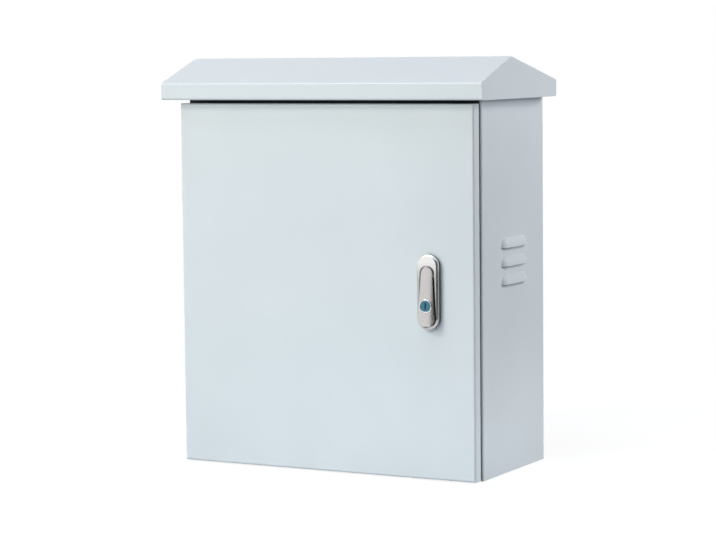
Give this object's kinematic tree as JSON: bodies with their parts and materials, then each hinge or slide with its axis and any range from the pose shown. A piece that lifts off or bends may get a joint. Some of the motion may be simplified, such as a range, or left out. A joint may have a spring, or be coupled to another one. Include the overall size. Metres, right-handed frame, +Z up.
{
  "type": "outdoor electrical cabinet",
  "caption": "Wall-mounted sheet-steel electrical cabinet with an overlay door, pop-out handle lock, side louvres and a gabled rain hood.",
  "frame": {"origin": "middle of the bottom of the bounding box, where the base's lower face lies", "axes": "+X to the right as seen from the door, +Y from the door to the wall, +Z up"},
  "size_m": [0.435, 0.215, 0.4999],
  "materials": {
    "paint": "light blue-grey powder coat, satin",
    "zinc": "zinc plated",
    "nickel": "satin nickel plated",
    "key_blue": "blue, smooth",
    "rubber": "black, matt",
    "foam": "dark grey foamed seal"
  },
  "bodies": {
    "cabinet": {"body_wrap": "paint", "top_plate": "paint", "bottom_plate": "paint", "rain_hood": "paint", "hood_bolts": "zinc", "hood_nuts": "zinc", "mounting_plate": "zinc", "plate_studs": "zinc", "plate_spacers": "zinc", "plate_nuts": "zinc", "gland_plate": "paint", "gland_seal": "rubber", "gland_studs": "zinc", "gland_nuts": "zinc", "left_grommet": "rubber", "middle_grommet": "rubber", "right_grommet": "rubber", "earth_stud": "zinc", "earth_nuts": "zinc", "upper_hinge_leaf": "zinc", "lower_hinge_leaf": "zinc"},
    "door": {"upper_hinge_block": "zinc", "lower_hinge_block": "zinc", "upper_hinge_pin": "nickel", "lower_hinge_pin": "nickel", "door_panel": "paint", "door_seal": "foam", "door_earth_stud": "zinc", "door_earth_nuts": "zinc", "lock_base": "nickel", "lock_seal": "rubber", "lock_bracket": "zinc", "lock_screws": "zinc"},
    "spindle": {"lock_spindle": "zinc", "latch_cam": "zinc", "cam_washer": "zinc", "cam_bolt": "zinc", "lift_pin": "nickel"},
    "handle": {"lock_handle": "nickel", "key_sleeve": "nickel"},
    "key": {"key_plug": "key_blue"}
  },
  "joints": [
    {"name": "door_swing", "type": "hinge", "parent": "cabinet", "child": "door", "pos_m": [-0.194, -0.083, 0.2235], "axis": [0, 0, -1], "range_deg": [0, 120]},
    {"name": "lock_turn", "type": "hinge", "parent": "door", "child": "spindle", "pos_m": [0.142, -0.0925, 0.247], "axis": [0, -1, 0], "range_deg": [0, 90]},
    {"name": "handle_lift", "type": "hinge", "parent": "spindle", "child": "handle", "pos_m": [0.142, -0.0981, 0.25], "axis": [-1, 0, 0], "range_deg": [0, 30]},
    {"name": "key_turn", "type": "hinge", "parent": "handle", "child": "key", "pos_m": [0.142, -0.1035, 0.209], "axis": [0, 1, 0], "range_deg": [0, 90]}
  ]
}
